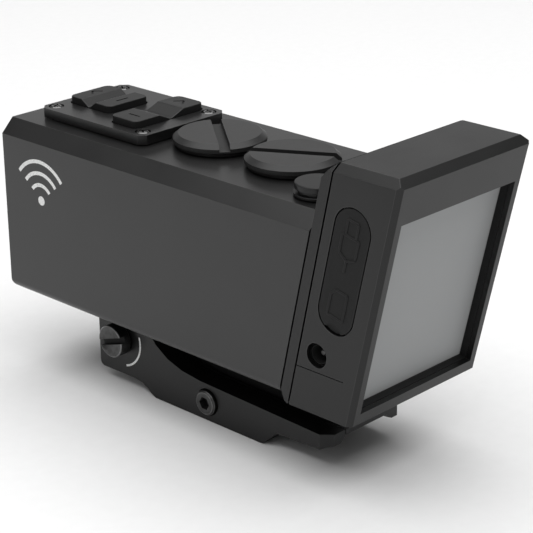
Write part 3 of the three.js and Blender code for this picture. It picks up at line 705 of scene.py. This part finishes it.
# ---- The battery wells, keypad and power button ----
def add_wells():
    for name, (y, slot_angle) in WELLS.items():
        profile = [
            (9.75, 44.5), (10.7, 44.5), (10.7, SEAT), (11.9, SEAT), (11.9, 50.1), (9.75, 50.1), (9.75, 44.5),
        ]
        lip = turned(name + "_tube_lip", profile, (0, y, 0), sides=72, hollow=True)
        paint(lip, TRIM, TRIM_EDGE)
        ease(lip, 0.15, 2)
        hand_over(lip, "unit", "anodised_trim")

        # The skirt with its seal groove, then the head with its bevel.
        profile = [
            (7.4, 45.3), (9.35, 45.3), (9.35, 47.2), (8.4, 47.2), (8.4, 48.7), (9.35, 48.7),
            (9.35, CAP_UNDER), (CAP_RADIUS, CAP_UNDER),
            (CAP_RADIUS, CAP_BEVEL_FOOT), (CAP_RADIUS - 1.5, CAP_TOP), (0.5, CAP_TOP),
        ]
        cap = turned(name + "_cap", profile, (0, y, 0), sides=96)
        hollow = turned("hollow", [(7.4, 44), (7.4, 50)], (0, y, 0), sides=48)
        slot = block("slot", (-20, -1.45, SLOT_FLOOR), (20, 1.45, 55))
        slot.data.transform(Matrix.Translation((0, y, 0)) @ Matrix.Rotation(math.radians(slot_angle), 4, "Z"))
        carve(cap, hollow, slot)
        paint(cap, CAP, BODY_EDGE)
        ease(cap, 0.2)
        # Painted light: the slot's floor takes the lighter key finish, so it reads as lit.
        paint_where(cap, KEY, lambda at, facing: facing.z > 0.9 and abs(at.z - SLOT_FLOOR) < 0.05)
        hand_over(cap, name + "_cap", "anodised_body", name + "_battery_cap")


def rocker_key(name, low, high, pad_low, pad_high, valley, half, marks, place):
    """A two-way key, drawn fore and aft: two flat pads with a valley between, marks sunk into the pads."""
    key = block(name, (-half, low, KEY_UNDER), (half, high, KEY_TOP))
    for y in (pad_low, valley - 0.35, valley + 0.35, pad_high):
        score(key, (0, y, 0), (0, 1, 0))
    pick(key, "FACE", lambda at, facing: facing.z > 0.9 and abs(at.y - valley) < 0.3)
    bpy.ops.transform.translate(value=(0, 0, -VALLEY_DEPTH))
    done()

    def corner(at, facing):
        at_end = at.y < low + 0.1 or at.y > high - 0.1
        return along_z(at, facing) and abs(at.x) > half - 0.1 and at_end

    round_edges(key, corner, 2, 6)
    paint(key, KEY)
    ease(key, 0.25, 3, 20)
    # Painted shade: the key's upright sides take the darker hood finish, as they face away from the top light.
    paint_where(key, HOOD, upright_wall)
    for points in marks:
        for first, second in zip(points, points[1:]):
            mark = bar("mark", (*first, KEY_TOP + 0.05), (*second, KEY_TOP + 0.05), 0.6, 0.6)
            # Painted shade: the marks' cut faces take the near-black finish.
            paint(mark, SHADE_AND_MASK_BLACK)
            carve(key, mark)
    key.data.transform(place)
    return key


def add_keypad():
    plate = block("keypad_frame", (-15.95, 0.75, SEAT), (15.95, 43.2, 52))
    round_edges(plate, along_z, 1.8, 1)
    front_window = block("window", (-7.85, 22.9, 48), (7.85, 40.85, 56))
    rear_window = block("window", (-12.75, 6.75, 48), (13.85, 17.95, 56))
    for window in (front_window, rear_window):
        round_edges(window, along_z, 2.3, 6)
    sinks = [turned("sink", [(2.2, 50.6), (2.2, 56)], (x, y, 0), sides=40) for x, y in KEYPAD_SCREWS]
    carve(plate, front_window, rear_window, *sinks)
    paint(plate, BODY, BODY_EDGE)
    ease(plate, 0.15, 3)
    hand_over(plate, "unit", "anodised_body", "keypad_plate")

    chevron = [[(-1.9, 36.7), (0, 38.9), (1.9, 36.7)]]
    dash = [[(-2.15, 26.25), (2.15, 26.25)]]
    front = rocker_key(
        "front_rocker_top", low=23.25, high=40.5, pad_low=29.25, pad_high=35, valley=31.9, half=7.5,
        marks=chevron + dash, place=UPRIGHT,
    )
    hand_over(front, "front_rocker", "anodised_trim", "front_rocker_key")

    # The rear key is drawn fore and aft too, then turned to lie across the unit.
    sideways = Matrix.Translation((0, 12.35, 0)) @ Matrix.Rotation(math.radians(-90), 4, "Z")
    left_dash = [[(-2.15, -8), (2.15, -8)]]
    right_chevron = [[(-1.9, 8.4), (0, 10.6), (1.9, 8.4)]]
    rear = rocker_key(
        "rear_rocker_top", low=-12.4, high=13.5, pad_low=-3.6, pad_high=5.5, valley=0.65, half=5.25,
        marks=left_dash + right_chevron, place=sideways,
    )
    hand_over(rear, "rear_rocker", "anodised_trim", "rear_rocker_key")

    for number, (x, y) in enumerate(KEYPAD_SCREWS, 1):
        profile = [(1.9, 50.9), (1.9, 51.7), (1.45, 52.1), (0.7, 52.25)]
        screw = turned("keypad_frame_screw_%d" % number, profile, (x, y, 0), sides=40)
        paint(screw, SCREW_STEEL)
        ease(screw, 0.07, 2)
        turn = math.radians(18 + 31 * number)  # each screw stopped at another angle
        for extra in (0, math.pi / 2):
            reach = Vector((math.cos(turn + extra), math.sin(turn + extra), 0)) * 1.15
            recess = bar("recess", Vector((x, y, 52)) - reach, Vector((x, y, 52)) + reach, 0.5, 1.1)
            # Painted shade: the cross recess takes the near-black finish.
            paint(recess, SHADE_AND_MASK_BLACK)
            carve(screw, recess)
        hand_over(screw, "unit", "bright_steel", "keypad_screw_%d" % number)


def add_power_button():
    x, y = BUTTON
    profile = [(3.9, SEAT), (6.2, SEAT), (6.2, 50.1), (5.1, 50.1), (5.1, 51), (3.9, 51), (3.9, SEAT)]
    collar = turned("power_button_seat", profile, (x, y, 0), sides=64, hollow=True)
    paint(collar, HOOD)
    ease(collar, 0.1, 2)
    hand_over(collar, "unit", "anodised_trim", "power_button_collar")
    profile = [
        (2.2, 44.7), (2.2, 51.9), (5.3, 51.9), (5.3, 51.1), (BUTTON_RADIUS, 51.1),
        (BUTTON_RADIUS, BUTTON_TOP - 0.25), (BUTTON_RADIUS - 0.25, BUTTON_TOP), (0.4, BUTTON_TOP),
    ]
    top = turned("power_button_cap", profile, (x, y, 0), sides=72)
    paint(top, KEY)
    ease(top, 0.1, 2)
    # Painted shade: the button's upright side takes the darker hood finish.
    paint_where(top, HOOD, upright_wall)
    hand_over(top, "power_button", "anodised_trim", "power_button")

    # The spring is a clean copy of the CAD coil, with a mesh of its own.
    spring = copy_of("power_button_spring", "power_button_coil")
    paint(spring, BRIGHT_STEEL)
    hand_over(spring, "unit", "bright_steel", "power_button_spring")
    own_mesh(spring)


# ---- The flange and display head ----
def clip_corners(piece):
    """Chamfers the top corners as seen from behind."""
    for side in (-1, 1):
        slice_off(piece, (side * HALF, 0, CORNER_HEIGHT), (side * 2.1, 0, 3.1))


def add_flange():
    flange = leaning_block("rear_flange_plate", FLANGE_FRONT, FLANGE_FRONT - 3, HEAD_LOW, HEAD_HIGH)
    clip_corners(flange)
    slice_off(flange, (0, leaned(FLANGE_FRONT, 59.6), 59.6), (0, 4.06, 3.58))
    # Three flats round off the foot, each given by a point and a normal in (y, z).
    flats = (
        ((FLANGE_FRONT, 0), (1.9, -0.4)),
        ((FLANGE_FRONT - 0.4, -1.9), (0.95, -0.75)),
        ((FLANGE_FRONT - 1.15, -2.85), (0.49, -1.09)),
    )
    for point, normal in flats:
        slice_off(flange, (0, *point), (0, *normal))
    cable = block("cable window", (-12, -90, 10), (12, -40, 34))
    carve(flange, cable)
    paint(flange, HOOD, HOOD_EDGE)
    ease(flange, 0.3)
    hand_over(flange, "unit", "anodised_body", "rear_flange")


def stadium(name, radius, near, far):
    """The port cover's rounded outline, carried along x."""
    low, high, centre = PORTS["low"], PORTS["high"], PORTS["centre"]
    piece = block(name, (near, centre - radius, low - radius), (far, centre + radius, high + radius))
    round_edges(piece, along_x, radius * 0.999, 16)
    piece.data.transform(DISPLAY)
    return piece


def add_head():
    head = leaning_block("display_hood", HEAD_FRONT, DISPLAY_REAR, HEAD_LOW, HEAD_HIGH)
    clip_corners(head)
    slice_off(head, (0, leaned(DISPLAY_REAR, CORNER_HEIGHT), CORNER_HEIGHT), (0, -2.1, 2))
    for side in (-1, 1):
        corner = Vector((side, -math.cos(LEAN), -math.sin(LEAN)))
        slice_off(head, DISPLAY @ Vector((side * HALF, 1.3, 0)), corner)
    inside = leaning_block("inside", -40, DISPLAY_REAR + 1.54, -1.5, 61.7, left=-23, right=23)
    opening = block("opening", (-21.75, -5, -0.37), (21.75, 5, 53.1), DISPLAY)
    carve(head, inside, opening)
    paint(head, HOOD, HOOD_EDGE)
    ease(head, 0.3)
    panel_rear = DISPLAY_REAR + 4.75 / math.cos(LEAN)
    carve(head, leaning_block("panel gap", -60, panel_rear, 8.25, PANEL_TOP, left=-27, right=-22.9))
    hand_over(head, "unit", "anodised_body", "display_head")

    # The panel's top and rear edges are cut after the easing, so that they close up flush with the hood.
    panel = leaning_block("port_side_panel", HEAD_FRONT, panel_rear - 2, 8.4, 60, right=-23)
    jack_at = DISPLAY @ Vector((0, *JACK))
    jack_hole = turned("jack hole", [(3.25, 20), (3.25, 30)], (0, jack_at.y, jack_at.z), "X")
    carve(panel, stadium("recess", 5.8, -26, -23.7), jack_hole)
    paint(panel, HOOD, HOOD_EDGE)
    ease(panel, 0.15)
    slice_off(panel, (0, 0, PANEL_TOP), (0, 0, 1))
    slice_off(panel, (0, panel_rear, 0), -LEAN_FORWARD)
    hand_over(panel, "unit", "anodised_body", "port_panel")


def glyph_bars(name, lines):
    """Raised lines on the port cover, from points given as depth from its middle line and height."""
    bars = []
    for points in lines:
        ends = [(-24.95, PORTS["centre"] + depth, height) for depth, height in points]
        for first, second in zip(ends, ends[1:]):
            bars.append(bar(name, first, second, 0.44, 0.7, DISPLAY))
    return bars


def add_port_cover():
    cover = stadium("port_rubber_cover", PORTS["radius"], -24.98, -24)
    paint(cover, PORT_RUBBER, PORT_RUBBER_EDGE)
    ease(cover, 0.22, 3)
    # A fingernail scoop at the lower end.
    nail = turned("nail", [(2.6, 24.3), (3.4, 25.3)], (0, 0, 0), "X", 48)
    nail.data.transform(DISPLAY @ Matrix.Translation((0, PORTS["centre"], PORTS["low"] - 6.3)))
    carve(cover, nail)
    hand_over(cover, "port_flap", "port_rubber", "port_cover")

    low, neck, waist, shoulder, high = 35.6, 38.8, 40.2, 45.3, 49.5
    contact = [(-1.7, shoulder), (-1.7, high), (1.7, high), (1.7, shoulder)]
    grip = [(-2.6, shoulder), (2.6, shoulder), (2.6, waist), (0, neck), (-2.6, waist), (-2.6, shoulder)]
    lead = [(0, neck), (0, low)]
    plug = [contact, grip, lead]
    low, high = 22.8, 30.2
    card = [[(-2.5, low), (2.5, low), (2.5, high - 1.6), (1.1, high), (-2.5, high), (-2.5, low)]]
    for name, lines in (("plug_glyph", plug), ("card_glyph", card)):
        bars = glyph_bars(name, lines)
        glyph = fuse(*bars)
        glyph.name = name
        paint(glyph, PORT_RUBBER, PORT_RUBBER_EDGE)
        ease(glyph, 0.14, 2)
        hand_over(glyph, "port_flap", "port_rubber")


def add_jack():
    at = DISPLAY @ Vector((0, *JACK))
    axis_at = (0, at.y, at.z)
    profile = [(2.45, 14), (2.95, 14), (2.95, 23.9), (2.45, 23.9), (2.45, 14)]
    barrel = turned("power_inlet_ring", profile, axis_at, "X", sides=48, hollow=True)
    paint(barrel, PLASTIC, PLASTIC_EDGE)
    ease(barrel, 0.08, 2)
    hand_over(barrel, "unit", "black_plastic")
    profile = [(0.95, 11), (0.95, 22.2), (0.6, 22.6)]
    contact = turned("power_inlet_pin", profile, axis_at, "X", sides=32)
    paint(contact, BLACK_STEEL)
    ease(contact, 0.1, 2)
    hand_over(contact, "unit", "bright_steel", "dc_jack_pin")


def add_display():
    window = block("screen_cover", (-22.6, 3.9, -1.2), (22.6, 5.2, 55.3), DISPLAY)
    paint(window, SCREEN)
    ease(window, 0.1, 2)
    hand_over(window, "unit", "display_glass", "display_window")
    # The blackened throat between the hood's opening and the screen.
    throat = block("screen_throat", (-22.7, 1.56, -1.3), (22.7, 3.7, 55.5), DISPLAY)
    hole = block("hole", (-21.62, 0, -0.27), (21.62, 6, 53), DISPLAY)
    carve(throat, hole)
    paint(throat, SHADE_AND_MASK_BLACK)
    ease(throat, 0.08, 2)
    hand_over(throat, "unit", "black_plastic", "window_mask")


# ---- The mount ----
def add_mount():
    base = copy_of("mount_base", "mount_rail_base")
    paint(base, HOOD, HOOD_EDGE)
    ease(base, 0.28, 2, 35)
    # The rib's left face lies deep in the shade between the jaw and the housing; that shade is painted on it in
    # near-black.
    paint_where(base, SHADE_AND_MASK_BLACK, lambda at, facing: facing.x < -0.5 and -8 < at.x < -6.5 and at.z > -16)
    hand_over(base, "unit", "anodised_body", "mount_base")
    jaw = copy_of("clamp_jaw", "mount_clamp_jaw")
    paint(jaw, HOOD, HOOD_EDGE)
    ease(jaw, 0.28, 2, 35)
    hand_over(jaw, "clamp_jaw", "anodised_body", "clamp_jaw")

    x, y, z = CLAMP_SCREW
    head = -x + GAP
    profile = [(2.5, head - 26), (2.5, head), (4.75, head), (4.75, head + 3.7), (0.3, head + 3.7)]
    knob = turned("clamp_screw_head", profile, (0, y, z), "X", sides=72)
    slot = block("slot", (-head - 5, -8, -0.9), (-head - 2.1, 8, 0.9))
    slot.data.transform(Matrix.Translation((0, y, z)) @ Matrix.Rotation(math.radians(-18), 4, "X"))
    paint(knob, BLACK_STEEL, BLACK_STEEL_EDGE)
    ease(knob, 0.35, 3)
    # Painted shade: the slot's cut faces take the near-black finish.
    paint(slot, SHADE_AND_MASK_BLACK)
    carve(knob, slot)
    hand_over(knob, "clamp_screw", "black_screw_steel", "clamp_screw")

    x, y, z = CROSS_SCREW
    proud = -x + 1.3
    profile = [
        (1.85, -12), (1.85, proud - 3.3), (3.6, proud - 3.3), (3.6, proud - 0.5), (3.1, proud), (0.3, proud),
    ]
    bolt = turned("cross_bolt_head", profile, (0, y, z), "X")
    socket = turned("socket", [(1.9, proud - 2), (1.9, proud + 1)], (0, y, z), "X", 6)
    paint(bolt, BLACK_STEEL, BLACK_STEEL_EDGE)
    ease(bolt, 0.12, 2)
    # Painted shade: the hex socket takes the near-black finish.
    paint(socket, SHADE_AND_MASK_BLACK)
    carve(bolt, socket)
    hand_over(bolt, "cross_screw", "black_screw_steel", "cross_screw")


# ---- Printed marks ----
INK = 0.03  # thickness of a print


def printed_arc(name, radius, stroke, first, last, steps):
    """A flat printed arc about the origin, drawn in (y, z) and facing -x; angles run from +y towards +z."""
    bpy.ops.object.select_all(action="DESELECT")
    bpy.ops.mesh.primitive_plane_add(size=1, location=(0, 0, 0))
    piece = bpy.context.object
    edit_all()
    bpy.ops.mesh.delete(type="ONLY_FACE")
    done()
    # Two of the plane's corners stay, as the ends of a line across the stroke, which is spun into the arc.
    mesh = piece.data
    for vertex in mesh.vertices:
        vertex.select = vertex.co.y < 0
    bpy.ops.object.mode_set(mode="EDIT")
    bpy.ops.mesh.select_mode(type="VERT")
    bpy.ops.mesh.delete(type="VERT")
    done()
    for vertex, distance in zip(mesh.vertices, (radius - stroke / 2, radius + stroke / 2)):
        vertex.co = (0, distance * math.cos(first), distance * math.sin(first))
    edit_all()
    bpy.ops.mesh.spin(steps=steps, angle=first - last, center=(0, 0, 0), axis=(1, 0, 0))
    bpy.ops.mesh.select_all(action="SELECT")
    bpy.ops.mesh.remove_doubles(threshold=0.001)
    done()
    piece.name = piece.data.name = name
    return piece


def thicken(piece):
    """Gives a flat print its film thickness."""
    apply_modifier(piece, "SOLIDIFY", thickness=INK, offset=0)
    alone(piece)
    edit_all()
    bpy.ops.mesh.normals_make_consistent(inside=False)
    done()


def add_prints():
    # A turning arc beside the clamp screw.
    mark = printed_arc("clamp_turn_mark", 8.25, 0.6, math.radians(164), math.radians(255), 28)
    thicken(mark)
    x, y, z = CLAMP_SCREW
    mark.data.transform(Matrix.Translation((x - INK / 2, y, z)))
    paint(mark, PRINT)
    hand_over(mark, "clamp_jaw", "anodised_body")

    # A plain pictogram on the housing's left side: a source and its waves.
    waves = []
    for radius in (4.6, 8, 11.4):
        wave = printed_arc("wave", radius, 1.1, math.radians(38), math.radians(142), 24)
        thicken(wave)
        waves.append(wave)
    source = turned("source", [(1.35, -INK / 2), (1.35, INK / 2)], (0, 0, 0), "X", 32)
    mark = fuse(source, *waves)
    mark.name = "wave_pictogram"
    mark.data.transform(Matrix.Translation((-HALF - INK / 2, 33.5, 28.5)))
    paint(mark, PRINT)
    hand_over(mark, "unit", "anodised_body")


# ---- Finishes of the CAD pieces that stay ----
KEPT = {
    BRIGHT_STEEL: ["front_rocker_pin", "rear_rocker_pin", "front_battery_spring",
                   "rear_battery_spring", "usb_socket", "card_socket", "radar_transceiver"],
    BLACK_STEEL: ["mount_screw_1", "mount_screw_2", "mount_screw_3",
                  "flange_screw_1", "flange_screw_2", "flange_screw_3", "flange_screw_4"],
    TRIM: ["front_battery_tube", "rear_battery_tube"],
    SEAL_RUBBER: ["front_gasket", "flange_gasket", "head_gasket", "front_cap_seal", "rear_cap_seal"],
    PLASTIC: ["lcd_panel", "camera_module", "power_switch", "dc_jack", "memory_card"],
    BOARD: ["main_board", "keypad_board", "display_board", "radar_antenna"],
    SLEEVE: ["front_battery", "rear_battery"],
}


def finish_kept():
    for finish, nodes in KEPT.items():
        for node in nodes:
            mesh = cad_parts[node].data
            mesh.materials.clear()
            mesh.materials.append(finish)


# ---- The studio ----
def softbox(name, place, size, power):
    """A rectangular light of this size in metres and power in watts, aimed at the unit's middle."""
    bpy.ops.object.light_add(type="AREA", location=place)
    light = bpy.context.object
    light.name = name
    light.data.shape = "RECTANGLE"
    light.data.size, light.data.size_y = size
    light.data.energy = power
    light.rotation_mode = "QUATERNION"
    light.rotation_quaternion = (Vector((0, 0, 0.04)) - Vector(place)).to_track_quat("-Z", "Y")


def add_studio():
    bpy.ops.object.select_all(action="DESELECT")
    bpy.ops.mesh.primitive_plane_add(size=6, location=(0, 0, -0.0001))
    floor = bpy.context.object
    floor.name = "studio_floor"
    finish = Finish("pale studio paper")
    shade = finish.mix(finish.clouds(0.004, detail=3), (0.8, 0.8, 0.8), (0.84, 0.84, 0.84))
    floor.data.materials.append(finish.surface(Base_Color=shade, Roughness=0.8, Specular_IOR_Level=0.1))

    world = bpy.data.worlds.new("soft studio")
    world.use_nodes = True
    background = world.node_tree.nodes["Background"]
    background.inputs["Color"].default_value = (1, 1, 1, 1)
    background.inputs["Strength"].default_value = 0.16
    bpy.context.scene.world = world
    softbox("top softbox", (0.0, -0.05, 1.2), (2.0, 2.0), 30)
    softbox("far wall", (1.6, 1.6, 0.5), (2.4, 0.9), 3.8)
    softbox("left softbox", (-0.9, -0.2, 0.5), (0.6, 0.5), 0.6)
    bpy.context.scene.view_settings.view_transform = "Standard"


add_housing()
add_front()
add_wells()
add_keypad()
add_power_button()
add_flange()
add_head()
add_port_cover()
add_jack()
add_display()
add_mount()
add_prints()
finish_kept()
add_studio()
